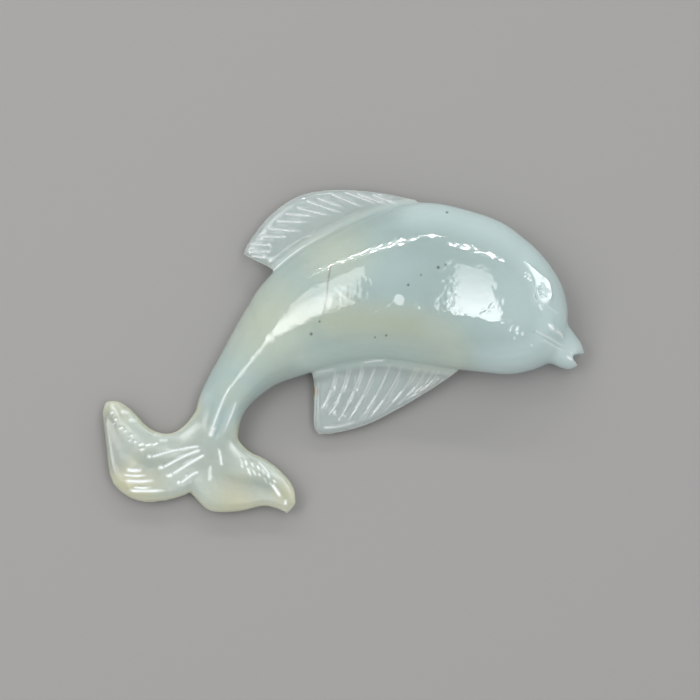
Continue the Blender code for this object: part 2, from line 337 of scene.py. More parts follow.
def stroke(knots, width=BURR, depth=CUT_DEPTH, fade=(0.2, 0.2), hollow=1.5, frost_and_glint=0.0):
    """Set out one burr stroke along a plan curve, cut to the given depth in its middle. A
    negative depth leaves a raised line. The higher the hollow, the sharper the middle of the
    stroke. Frost and glint is how white the stroke is painted, partly as the burr's unpolished
    frost and partly as a painted glint."""
    path = smooth_curve(knots, np.linspace(0, 1, 25))
    strokes.append((path, width, depth, fade, hollow, frost_and_glint))


def along_angle(start, degrees, length):
    """Plan point at a length from the start, in the direction of an angle."""
    angle = math.radians(degrees)
    return (start[0] + length * math.cos(angle), start[1] + length * math.sin(angle))


# Dorsal fin: nearly level grooves that lean over towards the front, every second one deep and
# white, the others finer and missing at the tip, and a thin bead along the fin's foot.
DORSAL_CUTS = 27
DORSAL_START = [(-9.15, 9.6), (-9.4, 10.7), (-7.9, 12.2), (-6.2, 13.5), (-4.2, 14.8),
                (-2.2, 15.7), (0.3, 16.1), (3.0, 15.8)]
DORSAL_FOOT = [(-7.3, 7.75), (-5.6, 9.25), (-3.7, 10.6), (-1.75, 11.65), (0.2, 12.7)]
for k in range(DORSAL_CUTS):
    share = k / (DORSAL_CUTS - 1)
    start = smooth_curve(DORSAL_START, share)[0] + hand.uniform(-0.1, 0.1, 2)
    heading = -4 - 18 * ramp(share, 0.4, 0.65) + hand.uniform(-2, 2)
    length = 1.7 + 1.6 * ramp(share, 0.0, 0.3) - 0.6 * ramp(share, 0.85, 1.0)
    length += hand.uniform(-0.5, 0.7)
    if k % 2 == 0:
        stroke([start, along_angle(start, heading, length)], width=0.28, depth=0.13,
               fade=(0.05, 0.4), frost_and_glint=1.2 - 0.3 * share)
    elif share > 0.15:
        start = along_angle(start, heading, hand.uniform(0.2, 0.9))
        stroke([start, along_angle(start, heading, 0.6 * length)], width=0.22, depth=0.06,
               fade=(0.3, 0.5), frost_and_glint=0.35)
stroke(DORSAL_FOOT, width=0.28, depth=-0.07, fade=(0.02, 0.7), frost_and_glint=0.9)

# Flipper: ten long, gently bent cuts that run back from the belly to the rim, each deeper and
# whiter along one stretch and with a finer one beside it. A line runs along the rear edge and
# the tip, and a bead along the foot.
FLIPPER_CUTS = 10
FLIPPER_TOP = [(-0.6, -1.7), (2.3, -1.2), (5.4, -1.3), (8.3, -1.65), (9.8, -1.8)]
FLIPPER_END = [(-2.3, -5.7), (-0.4, -7.15), (1.75, -7.1), (4.9, -5.65), (6.9, -4.5)]
FLIPPER_REAR = [(-2.6, -2.9), (-2.72, -5.0), (-2.78, -7.1)]
FLIPPER_TIP = [(-2.1, -7.45), (-0.4, -7.35), (1.6, -6.85)]
FLIPPER_FOOT_REAR = [(-2.95, -2.15), (-1.8, -1.95), (-0.66, -1.7)]
FLIPPER_FOOT_MIDDLE = [(1.74, -1.2), (3.1, -1.0), (4.42, -0.95)]
for k in range(FLIPPER_CUTS):
    share = k / (FLIPPER_CUTS - 1)
    start = smooth_curve(FLIPPER_TOP, share)[0] + hand.uniform(-0.1, 0.1, 2)
    end = smooth_curve(FLIPPER_END, share)[0] + hand.uniform(-0.1, 0.1, 2)
    cut_line = [start, (start + end) / 2 + (0.2, -0.11), end]
    stroke(cut_line, width=0.34, depth=0.09, fade=(0.1, 0.15), frost_and_glint=0.4)
    first = hand.uniform(0.35, 0.55)
    stroke(smooth_curve(cut_line, np.linspace(first, first + 0.4, 6)), width=0.30, depth=0.06,
           fade=(0.3, 0.3), frost_and_glint=1.0)
    stroke(smooth_curve(cut_line, np.linspace(0.0, 1.0, 6)) + (0.45, -0.05), width=0.9,
           depth=0.05, fade=(0.2, 0.2))
    first = hand.uniform(0.0, 0.6)
    stroke(smooth_curve(cut_line, np.linspace(first, first + 0.4, 6)) + (0.3, -0.08), width=0.22,
           depth=0.05, frost_and_glint=0.6)
stroke(FLIPPER_REAR, width=0.30, depth=0.04, frost_and_glint=0.9)
stroke(FLIPPER_TIP, width=0.50, depth=0.06, frost_and_glint=0.5)
stroke(FLIPPER_FOOT_REAR, width=0.3, depth=-0.06, frost_and_glint=0.6)
stroke(FLIPPER_FOOT_MIDDLE, width=0.3, depth=-0.06, frost_and_glint=0.8)

# Left fluke: long cuts fanning out from the root, each ending in a gouge on one terrace line,
# short ticks across the ridge, level cuts on the full lobe and faint ones beside the ridge.
LEFT_FAN = [((-14.2, -9.4), (-19.1, -10.5), 0.5), ((-14.1, -9.7), (-17.9, -11.5), 0.6),
            ((-13.7, -10.2), (-17.0, -12.2), 0.7), ((-14.4, -11.9), (-16.2, -13.1), 0.4)]
LEFT_RIDGE = [(-23.3, -6.2), (-22.3, -7.6), (-21.3, -8.5), (-20.5, -9.35), (-19.0, -9.45)]
LEFT_TICKS = 9
LOBE_CUTS = [((-21.6, -11.75), 1.6, 0.55), ((-21.9, -12.3), 2.6, 0.30),
             ((-21.8, -12.85), 3.2, 0.42), ((-21.5, -13.8), 4.2, 0.40),
             ((-20.9, -13.5), 2.0, 0.24)]
FAINT_CUTS = [(-22.2, -6.05), (-21.4, -6.9), (-18.9, -8.3), (-18.3, -8.9)]
for start, end, gouge in LEFT_FAN:
    bend = ((start[0] + end[0]) / 2 + 0.1, (start[1] + end[1]) / 2 + 0.15)
    stroke([start, bend, end], width=0.36, depth=0.11, fade=(0.12, 0.05), frost_and_glint=0.8)
    stroke([end, along_angle(end, 165 + 200 * (gouge - 0.5), gouge)], width=0.50, depth=0.12,
           fade=(0.1, 0.5), frost_and_glint=1.0)
    beside = along_angle(start, 200, 1.1)
    stroke([beside, ((bend[0] + end[0]) / 2, (bend[1] + end[1]) / 2 + 0.35)], width=0.26,
           depth=0.07, fade=(0.3, 0.4), frost_and_glint=0.55)
for k in range(LEFT_TICKS):
    share = k / (LEFT_TICKS - 1)
    crest = smooth_curve(LEFT_RIDGE, share)[0] + hand.uniform(-0.1, 0.1, 2)
    heading = 28 - 12 * share + hand.uniform(-10, 10)
    size = hand.uniform(0.3, 0.65)
    stroke([crest, along_angle(crest, heading, size)], width=0.27, depth=0.09, frost_and_glint=1.0)
    if k % 3 == 1:
        lower = along_angle(crest, heading - 90, 0.3)
        stroke([lower, along_angle(lower, heading + 180, size)], width=0.24, depth=0.06,
               frost_and_glint=0.5)
for (x, y), length, width in LOBE_CUTS:
    stroke([(x, y), (x + length / 2, y - 0.08), (x + length, y + 0.03)], width=width, depth=0.10,
           fade=(0.15, 0.4), frost_and_glint=1.0)
for x, y in FAINT_CUTS:
    stroke([(x, y), (x + 0.9, y + 0.05)], width=0.5, depth=0.06, frost_and_glint=0.35)

# Right fluke: two long cuts down from the root, short ones that fan out towards the tip, a
# fine line along the upper rim and two deep cuts that run out into the tip.
RIGHT_ROOT_INNER = [(-12.35, -9.5), (-12.15, -10.7), (-12.05, -11.4)]
RIGHT_ROOT_OUTER = [(-13.15, -11.2), (-13.3, -13.0)]
RIGHT_FAN = [(-10.4, -10.8), (-9.6, -11.2), (-8.7, -11.6), (-7.9, -12.2), (-7.1, -13.0)]
RIGHT_FAN_CUTS = 13
RIGHT_RIM = [(-8.5, -10.9), (-7.8, -11.6), (-7.1, -12.5)]
RIGHT_TIP_LONG = [(-7.1, -13.1), (-6.6, -13.8), (-6.15, -14.5)]
RIGHT_TIP_SHORT = [(-5.7, -14.7), (-5.65, -15.3)]
stroke(RIGHT_ROOT_INNER, width=0.34, depth=0.10, frost_and_glint=0.8)
stroke(RIGHT_ROOT_OUTER, width=0.30, depth=0.09, frost_and_glint=0.6)
for k in range(RIGHT_FAN_CUTS):
    share = k / (RIGHT_FAN_CUTS - 1)
    start = along_angle(smooth_curve(RIGHT_FAN, share)[0], 60 - 140 * (k % 2), 0.3)
    heading = -74 + 22 * share + hand.uniform(-6, 6)
    stroke([start, along_angle(start, heading, hand.uniform(0.5, 1.3))], width=0.24, depth=0.07,
           fade=(0.2, 0.5), frost_and_glint=hand.uniform(0.4, 0.9))
stroke(RIGHT_RIM, width=0.24, depth=0.06, frost_and_glint=0.6)
stroke(RIGHT_TIP_LONG, width=0.44, depth=0.11, frost_and_glint=1.0)
stroke(RIGHT_TIP_SHORT, width=0.30, depth=0.08, frost_and_glint=0.8)

# Tail stock: two soft ridges that run together towards the flukes, with a furrow between them
# and a painted highlight along the crest of each, a low bead painted white, which spreads at
# the end of the left one.
STOCK_GLINT_LEFT = [(-10.9, -2.9), (-12.1, -5.6), (-13.2, -8.3)]
STOCK_GLINT_END = [(-12.8, -7.4), (-13.25, -8.6)]
STOCK_GLINT_RIGHT = [(-10.5, -5.0), (-11.3, -6.9), (-12.0, -8.6)]
STOCK_RIDGE_LEFT = [(-11.1, -3.4), (-12.2, -5.8), (-13.4, -8.6)]
STOCK_RIDGE_RIGHT = [(-10.6, -5.1), (-11.3, -6.9), (-12.2, -8.9)]
STOCK_FURROW = [(-11.3, -4.8), (-12.2, -7.1), (-12.9, -9.3)]
stroke(STOCK_GLINT_LEFT, width=0.34, depth=-0.05, fade=(0.6, 0.1), frost_and_glint=0.8)
stroke(STOCK_GLINT_END, width=0.60, depth=-0.05, frost_and_glint=0.9)
stroke(STOCK_GLINT_RIGHT, width=0.28, depth=-0.04, fade=(0.1, 0.6), frost_and_glint=0.6)
stroke(STOCK_RIDGE_LEFT, width=1.5, depth=-0.20, fade=(0.4, 0.3))
stroke(STOCK_RIDGE_RIGHT, width=1.1, depth=-0.18, fade=(0.4, 0.3))
stroke(STOCK_FURROW, width=0.9, depth=0.13, fade=(0.4, 0.3))

# Beak: a raised fold above the mouth with two glints on it, the line of the mouth with two
# finer lines along it, and the ridge of the lower beak.
BEAK_FOLD = [(20.55, 2.5), (20.9, 1.95), (21.5, 1.65), (22.1, 1.1)]
FOLD_GLINT_REAR = [(20.3, 2.55), (20.55, 2.1), (20.8, 1.85)]
FOLD_GLINT_FRONT = [(20.8, 1.9), (21.45, 1.6), (22.0, 1.1)]
MOUTH = [(22.9, -0.26), (22.45, 0.06), (21.3, 0.49), (19.8, 1.11), (18.5, 1.7)]
MOUTH_LINE_UPPER = [(22.3, 0.3), (20.75, 0.95), (19.5, 1.45), (18.9, 1.75)]
MOUTH_LINE_LOWER = [(22.1, -0.05), (20.75, 0.45), (19.6, 0.9)]
LOWER_BEAK_RIDGE = [(22.3, -0.5), (22.6, -0.68), (22.95, -0.9)]
stroke(BEAK_FOLD, width=0.85, depth=-0.30, fade=(0.15, 0.3), hollow=1.1)
stroke(FOLD_GLINT_REAR, width=0.36, depth=-0.04, frost_and_glint=0.9)
stroke(FOLD_GLINT_FRONT, width=0.26, depth=-0.04, frost_and_glint=0.8)
stroke(MOUTH, width=0.42, depth=0.25, fade=(0.02, 0.2), hollow=1.2, frost_and_glint=0.25)
stroke(MOUTH_LINE_UPPER, width=0.26, depth=0.10, frost_and_glint=0.7)
stroke(MOUTH_LINE_LOWER, width=0.24, depth=0.08, frost_and_glint=0.5)
stroke(LOWER_BEAK_RIDGE, width=0.36, depth=-0.08, frost_and_glint=0.9)

# Head: two rows of three pits behind the brow, scratches on the shoulder, two lines below the
# eye and short marks on the cheek.
BROW_PITS = (17.95, 7.45)
SHOULDER = (13.8, 3.5)
BELOW_EYE_REAR = [(19.4, 4.35), (19.5, 4.0), (19.75, 3.6)]
BELOW_EYE_FRONT = [(20.0, 4.3), (20.7, 3.85), (21.5, 3.5)]
CHEEK_MARKS = [((16.7, 2.3), 0.9, 0.4), ((17.3, 2.2), 0.9, 0.9), ((17.15, 1.6), 0.4, 0.8),
               ((17.7, 1.6), 0.5, 0.6), ((16.9, 1.2), 0.5, 0.4), ((18.7, 0.5), 0.4, 0.5)]
for k in range(6):
    row, column = divmod(k, 3)
    spot = hand.uniform(-0.1, 0.1, 2) + (BROW_PITS[0] + 0.25 * column,
                                         BROW_PITS[1] - 0.18 * column - 0.4 * row)
    stroke([spot, along_angle(spot, -60, hand.uniform(0.1, 0.3))], width=0.34, depth=0.10,
           frost_and_glint=0.9)
for _ in range(6):
    spot = SHOULDER + hand.uniform(-0.5, 0.5, 2) * (1.4, 0.8)
    stroke([spot, along_angle(spot, hand.uniform(10, 50), hand.uniform(0.3, 0.9))], width=0.22,
           depth=0.03)
stroke(BELOW_EYE_REAR, width=0.34, depth=0.10, frost_and_glint=0.8)
stroke(BELOW_EYE_FRONT, width=0.30, depth=0.08, frost_and_glint=0.45)
for spot, length, white in CHEEK_MARKS:
    stroke([spot, along_angle(spot, hand.uniform(245, 275), length)], width=0.36, depth=0.09,
           fade=(0.4, 0.4), frost_and_glint=white)

# Brow and eye: one long facet that widens from a point behind the brow to the round of the eye,
# ground nearly level, so that it cuts into the head above and stands proud below. The eye is a
# shallow dish at its wide end, with a rim line, two lines across it and fine scratches.
EYE_SPINE = [(17.9, 8.6), (18.55, 8.0), (19.25, 7.1), (19.75, 6.2), (19.85, 5.3)]
EYE_HALF_WIDTHS = [0.10, 0.17, 0.38, 0.80, 0.84]
EYE_MIDDLE = (19.72, 5.9)
EYE_TILT = (-0.03, 0.02)   # rise of the facet towards the beak and towards the back
FACET_DEPTH = 0.3          # how far the facet's middle lies below the head
FACET_MIDDLE = (19.3, 6.6)
FACET_REACH = 3.5          # nothing further from its middle belongs to the facet
FACET_EDGE = (-0.05, 0.12)    # where the facet's edge starts and ends to round off
EYE_RIM = [(19.0, 6.5), (19.1, 5.6), (19.35, 4.8), (19.9, 4.45), (20.5, 4.8)]
EYE_LINE_UPPER = [(20.65, 5.6), (20.1, 5.85), (19.5, 5.8), (19.15, 6.0)]
EYE_LINE_LOWER = [(20.3, 4.9), (19.9, 5.4), (19.4, 5.2)]
EYE_DISH = [(19.55, 6.35), (19.75, 5.8), (19.85, 5.2)]
EYE_SCRATCHES = 16
stroke(EYE_RIM, width=0.24, depth=0.10, fade=(0.1, 0.1), frost_and_glint=0.6)
stroke(EYE_LINE_UPPER, width=0.26, depth=0.08, frost_and_glint=0.2)
stroke(EYE_LINE_LOWER, width=0.24, depth=0.07)
stroke(EYE_DISH, width=1.1, depth=0.12, fade=(0.3, 0.3))
for _ in range(EYE_SCRATCHES):
    spot = smooth_curve(EYE_SPINE, hand.uniform(0.5, 1.0))[0] + hand.uniform(-0.6, 0.5, 2)
    stroke([spot, along_angle(spot, hand.uniform(-80, 0), hand.uniform(0.2, 0.6))], width=0.22,
           depth=0.04)

# The specks and the hairline in the stone need fine faces too, and so does the eye's facet. Each
# speck has its place and its reach.
SPECKS = [((10.37, 13.59), 0.22), ((9.4, 7.76), 0.26), ((10.12, 8.06), 0.15), ((7.7, 7.0), 0.14),
          ((6.45, 6.03), 0.2), ((4.3, 1.19), 0.18), ((3.2, 1.02), 0.14), ((-3.08, 1.33), 0.24),
          ((-2.26, 2.52), 0.16)]
HAIRLINE = [(-1.17, 8.1), (-1.43, 6.4), (-1.6, 4.6), (-1.95, 3.3)]
HAIRLINE_REACH = 0.16
FINE_STROKE = 0.6          # narrower strokes than this need fine faces
FINE_STEP = 0.1            # spacing of the places marked along a stroke
STROKE_MARGIN = 0.03       # fine faces go this far past a stroke
EYE_MARGIN = 0.2           # and this far past the eye's facet


def eye_half_width(share):
    """Half the facet's width at shares of the way along its spine."""
    knots = len(EYE_HALF_WIDTHS)
    return np.interp(share * (knots - 1), range(knots), EYE_HALF_WIDTHS)


finest = [(*place, reach) for place, reach in SPECKS]
finest += [(*place, HAIRLINE_REACH - 0.01)
           for place in smooth_curve(HAIRLINE, np.linspace(0, 1, 40))]
for share in np.linspace(0, 1, 30):
    x, y = smooth_curve(EYE_SPINE, share)[0]
    finest.append((x, y, eye_half_width(share) + EYE_MARGIN))
fine = list(finest)
for path, width, *_ in strokes:
    if width < FINE_STROKE:
        length = np.linalg.norm(np.diff(path, axis=0), axis=1).sum()
        places = smooth_curve(path, np.linspace(0, 1, 2 + int(length / FINE_STEP)))
        fine += [(*place, width / 2 + STROKE_MARGIN) for place in places]


def split_finer(wanted):
    """Split the wanted faces of the stone into four each."""
    bm = bmesh.new()
    bm.from_mesh(stone.data)
    bm.faces.ensure_lookup_table()
    chosen = [bm.faces[k] for k in np.flatnonzero(wanted)]
    edges = list({edge for face in chosen for edge in face.edges})
    bmesh.ops.subdivide_edges(bm, edges=edges, cuts=1, use_grid_fill=True)
    bm.to_mesh(stone.data)
    bm.free()


def near_detail(spots):
    """Which upward faces of the stone have their middles within reach of a spot. Spots whose
    reach is the same to a hundredth of a millimetre are searched together."""
    mesh = stone.data
    middles, normals = np.zeros(len(mesh.polygons) * 3), np.zeros(len(mesh.polygons) * 3)
    mesh.polygons.foreach_get("center", middles)
    mesh.polygons.foreach_get("normal", normals)
    middles, normals = middles.reshape(-1, 3) / MM - ORIGIN, normals.reshape(-1, 3)
    found = np.zeros(len(middles), bool)
    for reach in sorted({round(spot[2], 2) for spot in spots}):
        alike = [spot for spot in spots if round(spot[2], 2) == reach]
        tree = KDTree(len(alike))
        for k, (x, y, _) in enumerate(alike):
            tree.insert((x, y, 0), k)
        tree.balance()
        up = np.flatnonzero((normals[:, 2] > 0) & ~found)
        gaps = np.array([tree.find((x, y, 0))[2] for x, y in middles[up, :2]])
        found[up[gaps < reach]] = True
    return found


split_finer(near_detail(fine))
split_finer(near_detail(finest))
points = points_of(stone.data)
grind(1 - ramp(distance_to(BLADES, points), 0.5, 0.9), 3)

# The facet of the brow and eye is ground first, as a plane through a point below the head.
points = points_of(stone.data)
normals = normals_of(stone.data)
facing_up = ramp(normals[:, 2], 0.05, 0.45)
spine = smooth_curve(EYE_SPINE, np.linspace(0, 1, 60))
half_widths = eye_half_width(np.linspace(0, 1, 60))
on_head = np.flatnonzero(np.hypot(*(points[:, :2] - FACET_MIDDLE).T) < FACET_REACH)
gaps = np.linalg.norm(points[on_head, None, :2] - spine, axis=2) - half_widths
on_facet = (1 - ramp(gaps.min(axis=1), *FACET_EDGE)) * facing_up[on_head]
middle = points[np.argmin(np.hypot(*(points[:, :2] - EYE_MIDDLE).T) - points[:, 2])].copy()
plane = middle[2] - FACET_DEPTH + (points[on_head, :2] - middle[:2]) @ EYE_TILT
points[on_head, 2] += on_facet * (plane - points[on_head, 2])

# Then every stroke is cut square to the surface, deepest along its middle. How white each
# stroke is painted, as the burr's frost and as painted glints, is kept for the material.
cut = np.zeros(len(points))
frost_and_glint_share = np.zeros(len(points))
for path, width, depth, fade, hollow, frost_and_glint in strokes:
    low, high = path.min(axis=0) - width, path.max(axis=0) + width
    inside = np.flatnonzero(np.all((points[:, :2] > low) & (points[:, :2] < high), axis=1))
    spots = points[inside, :2]
    starts, spans = path[:-1], np.diff(path, axis=0)
    share = ((spots[:, None] - starts) * spans).sum(axis=2) / (spans ** 2).sum(axis=1)
    share = np.clip(share, 0, 1)
    gaps = np.linalg.norm(spots[:, None] - (starts + share[..., None] * spans), axis=2)
    nearest = gaps.argmin(axis=1)
    rows = np.arange(len(spots))
    along = (nearest + share[rows, nearest]) / len(spans)
    closeness = np.clip(1 - gaps[rows, nearest] / (width / 2), 0, 1)
    strength = ramp(along, 0, fade[0] + 1e-6) * (1 - ramp(along, 1 - fade[1] - 1e-6, 1))
    strength *= facing_up[inside]
    cut[inside] += depth * closeness ** hollow * strength
    whiteness = frost_and_glint * np.minimum(1, 1.4 * closeness) * strength
    frost_and_glint_share[inside] = np.maximum(frost_and_glint_share[inside], whiteness)
points -= normals * cut[:, None]
set_points(stone.data, points)
bpy.ops.object.shade_smooth()

# ---------------------------------------------------------------------------------------
# The stone: pale blue-green icy jadeite, polished with paste to a wet gloss. It is clear and
# greyish where it is thin and warm towards the tail's outer lobes, with a brown hairline and a
# few dark specks in it. Light and shade are partly painted into its colour: a glow along the
# thin edges, the low sides and the blades' feet, shade on the left fluke's outer edge and a
# glint on the flank. The burr's strokes are painted white, partly as frost, partly as glints.
# ---------------------------------------------------------------------------------------


def srgb(hex_colour):
    """Linear colour of an sRGB hex string."""
    values = [int(hex_colour[k:k + 2], 16) / 255 for k in (0, 2, 4)]
    return [v / 12.92 if v <= 0.04045 else ((v + 0.055) / 1.055) ** 2.4 for v in values] + [1.0]


def add_node(tree, kind, inputs=None, **settings):
    """Add a shader node, set its properties and fill or link its inputs."""
    node = tree.nodes.new(kind)
    for key, value in settings.items():
        setattr(node, key, value)
    for key, value in (inputs or {}).items():
        if isinstance(value, bpy.types.NodeSocket):
            tree.links.new(value, node.inputs[key])
        else:
            node.inputs[key].default_value = value
    return node


def patch(place, reach):
    """Soft round patch in plan, 1 in its middle and 0 past its reach."""
    return 1 - ramp(np.hypot(*(points[:, :2] - place).T), 0, reach)


def streak(knots, reach):
    """Soft band in plan along a curve."""
    return 1 - ramp(band_distance(points, smooth_curve(knots, np.linspace(0, 1, 30))), 0, reach)


points = points_of(stone.data)
normals = normals_of(stone.data)
thin = 1 - ramp(distance_to(FINS, points), 0.2, 1.2)
fluke = 1 - ramp(distance_to(FLUKES, points), 0.2, 2.8)
side_on = 1 - ramp(normals[:, 2], 0.2, 0.85)
near_blade = 1 - ramp(distance_to(BLADES, points), 0.1, 1.0)
near_body = 1 - ramp(distance_to(BODY_PARTS, points), 0.1, 1.0)
# Painted light on the blades' feet along the body lightens the shade in the creases.
foot_painted_light = near_blade * near_body
polished = 1 - frost_and_glint_share

# Where each trait of the stone, and each painted light and shade, shows, from 0 to 1.
zones = {
    # The flukes; and painted light on the blades' feet along the body, on the fins' rims and low
    # down on the body, that lightens them where they lie in shade.
    "fluke": fluke,
    "foot_painted_light": np.maximum(foot_painted_light, 0.6 * streak([(-3.5, -1.6), (2.5, -0.5), (11.0, -1.5)], 1.8))
            * (1 - fluke),
    "painted_rim_light": thin * side_on * polished,
    "painted_low_glow": (1 - ramp(points[:, 2], 2.0, 7.0)) * (1 - 0.6 * patch((-11.5, -3.5), 6.0)),
    # Painted glow: lighter colour along the back, over the melon, under the throat and in the
    # dorsal fin, standing in for light that shines through the stone's edges.
    "painted_edge_glow": np.maximum.reduce([
        streak([(7.5, 14.7), (12.0, 14.0), (16.5, 12.0), (19.5, 8.5), (21.3, 3.5), (19.5, -0.8),
                (14.0, -2.4)], 4.2),
        0.45 * patch((18.0, 4.0), 9.0), 0.7 * patch((-4.5, 12.5), 6.0) * thin]),
    # Honey-coloured stone in the lobes of the flukes.
    "lobe": np.maximum.reduce([
        patch((-21.6, -13.6), 5.6), 0.9 * patch((-10.2, -15.6), 5.4),
        0.8 * patch((-5.4, -14.5), 3.5), 0.5 * patch((-23.2, -6.0), 3.5),
        0.6 * patch((-23.2, -9.2), 3.2)]),
    # Painted light on the flukes' rounded margins, and painted shade on the outer edge of the
    # left one that damps its bright rim.
    "painted_margin_light": fluke * (1 - ramp(normals[:, 2], 0.5, 0.96)) * polished,
    "painted_edge_shade": streak([(-23.5, -7.0), (-23.2, -9.3), (-22.9, -11.2)], 2.0) * polished,
    # Warm greenish stone on the rear flank, along the belly and in the foot of the flipper.
    "warm": np.maximum.reduce([
        0.6 * patch((-7.5, 2.5), 8.5), 0.5 * patch((-1.0, 9.5), 6.5),
        0.4 * patch((-0.5, 3.6), 4.5), 0.6 * patch((8.6, -2.8), 3.2),
        0.3 * patch((-10.8, -4.3), 3.5),
        0.45 * streak([(-1.0, 2.4), (4.7, 2.2), (9.8, 0.8), (11.0, -1.5)], 3.5)]),
    "tan": streak([(-3.6, 3.0), (1.5, 2.8), (6.5, 2.2)], 2.6),
    # The thin fins and the hollows of the flukes let the table show through.
    "clear": np.maximum.reduce([
        thin, 0.7 * patch((-22.0, -9.6), 2.2), 0.6 * patch((-19.5, -11.1), 1.8),
        0.6 * patch((-8.5, -13.6), 2.2)]) * (1 - side_on) * (1 - foot_painted_light),
    # Small marks: a painted glint on the flank, specks and a hairline in the stone, an ochre
    # spot, and the burr's strokes, painted white as frost and as glints.
    "painted_glint": np.maximum(1.2 * patch((5.6, 4.6), 0.95),
                       0.48 * streak([(5.4, 4.6), (4.1, 3.8), (3.1, 3.3)], 0.5)),
    "speck": np.maximum.reduce([patch(place, reach) for place, reach in SPECKS]),
    "hairline": streak(HAIRLINE, HAIRLINE_REACH),
    # An ochre spot at the flipper's rear edge.
    "ochre_spot": np.minimum(1, 1.8 * patch((-2.95, -3.95), 0.7)),
    "frost_and_glint": frost_and_glint_share,
}
for name, values in zones.items():
    layer = stone.data.attributes.new(name, 'FLOAT', 'POINT')
    layer.data.foreach_set("value", np.clip(values, 0, 1).astype(np.float32))

jade = bpy.data.materials.new("jadeite_polished")
jade.use_nodes = True
tree = jade.node_tree
shader = tree.nodes["Principled BSDF"]
place = add_node(tree, 'ShaderNodeTexCoord').outputs['Object']

CLOUD_SIZE = 6.0           # faint clouds in the body colour, in millimetres
WISP_SIZE = 0.9            # ragged outline of the painted glint
RIPPLE_SIZE = 0.8          # low ripples that hand polishing leaves
RIPPLE_DEPTH = 0.032
SHARE, FIRST, SECOND, MIXED = 0, 6, 7, 2    # sockets of a Mix node set to colours
# The tint of each zone and how strongly it shows, laid over the clouds in this order.
TINTS = (
    # Painted glow, lighter low down on the body.
    ("painted_low_glow", 0.9, "C6D6D4"),
    # Painted glow along the back, the head's edge and the dorsal fin.
    ("painted_edge_glow", 0.75, "D2E4E2"),
    ("fluke", 0.75, "A8AFA2"),
    ("lobe", 0.85, "BEBA99"),
    # Painted light on the flukes' margins, painted shade on the left one's outer edge.
    ("painted_margin_light", 0.6, "DADBC0"),
    ("painted_edge_shade", 0.7, "8F938A"),
    ("warm", 0.85, "CFD0B4"),
    ("tan", 0.3, "A8AC90"),
    ("clear", 0.65, "C6D4CE"),
    # Painted light on the blades' feet and on the fins' rims.
    ("foot_painted_light", 0.8, "D4E4DA"),
    ("painted_rim_light", 0.85, "DCEAE0"),
    ("hairline", 0.5, "6A6A50"),
    ("speck", 0.85, "323B38"),
    ("ochre_spot", 0.9, "B5862E"),
    # The strokes painted white: the burr's frost and painted glints.
    ("frost_and_glint", 0.95, "F4FBF9"),
)


def zone(name, share=1.0):
    """One of the stone's zones, toned down to a share."""
    value = add_node(tree, 'ShaderNodeAttribute', attribute_name=name).outputs['Fac']
    return add_node(tree, 'ShaderNodeMath', {0: value, 1: share}, operation='MULTIPLY').outputs[0]


clouds = add_node(tree, 'ShaderNodeTexNoise', {'Vector': place, 'Scale': 1 / (CLOUD_SIZE * MM)})
cloud = add_node(tree, 'ShaderNodeMapRange', {'Value': clouds.outputs['Fac'], 'From Min': 0.35,
                                              'From Max': 0.65})
colour = add_node(tree, 'ShaderNodeMix', {SHARE: cloud.outputs[0], FIRST: srgb("A3B5B2"),
                                          SECOND: srgb("AABDBA")}, data_type='RGBA')
for name, share, tint in TINTS:
    colour = add_node(tree, 'ShaderNodeMix', {SHARE: zone(name, share),
                                              FIRST: colour.outputs[MIXED],
                                              SECOND: srgb(tint)}, data_type='RGBA')

# The painted glint has ragged edges: it shows where its zone and the wisps together pass a limit.
wisps = add_node(tree, 'ShaderNodeTexNoise', {'Vector': place, 'Scale': 1 / (WISP_SIZE * MM),
                                              'Detail': 4.0})
heaped = add_node(tree, 'ShaderNodeMath', {0: zone("painted_glint"), 1: wisps.outputs['Fac']},
                  operation='ADD')
painted_glint = add_node(tree, 'ShaderNodeMapRange', {'Value': heaped.outputs[0], 'From Min': 0.9,
                                             'From Max': 1.1, 'To Max': 0.7})
colour = add_node(tree, 'ShaderNodeMix', {SHARE: painted_glint.outputs[0], FIRST: colour.outputs[MIXED],
                                          SECOND: srgb("E6EEEC")}, data_type='RGBA')
tree.links.new(colour.outputs[MIXED], shader.inputs['Base Color'])

# The polish: a wet gloss on the body, a little duller on the flukes, matt in the strokes.
dullness = add_node(tree, 'ShaderNodeMath', {0: zone("frost_and_glint"), 1: zone("fluke", 0.7)},
                    operation='MAXIMUM')
roughness = add_node(tree, 'ShaderNodeMapRange', {'Value': dullness.outputs[0], 'To Min': 0.045,
                                                  'To Max': 0.36})
tree.links.new(roughness.outputs[0], shader.inputs['Roughness'])
shader.inputs['IOR'].default_value = 1.66
shader.inputs['Specular IOR Level'].default_value = 0.8
ripples = add_node(tree, 'ShaderNodeTexNoise', {'Vector': place, 'Scale': 1 / (RIPPLE_SIZE * MM),
                                                'Detail': 1.0})
bump = add_node(tree, 'ShaderNodeBump', {'Height': ripples.outputs['Fac'], 'Strength': 1.0,
                                         'Distance': RIPPLE_DEPTH * MM})
tree.links.new(bump.outputs['Normal'], shader.inputs['Normal'])

# The depth: light goes some three millimetres into the stone, less in the strokes painted
# white, and passes right through where it is thin and clear.
depth = add_node(tree, 'ShaderNodeMapRange', {'Value': zone("frost_and_glint"), 'To Min': 1.0,
                                              'To Max': 0.2})
tree.links.new(depth.outputs[0], shader.inputs['Subsurface Weight'])
shader.inputs['Subsurface Radius'].default_value = (1.0, 1.15, 1.1)
shader.inputs['Subsurface Scale'].default_value = 3.0 * MM
clearness = add_node(tree, 'ShaderNodeMapRange', {'Value': zone("clear"), 'To Min': 0.08,
                                                  'To Max': 0.4})
tree.links.new(clearness.outputs[0], shader.inputs['Transmission Weight'])
stone.data.materials.clear()
stone.data.materials.append(jade)

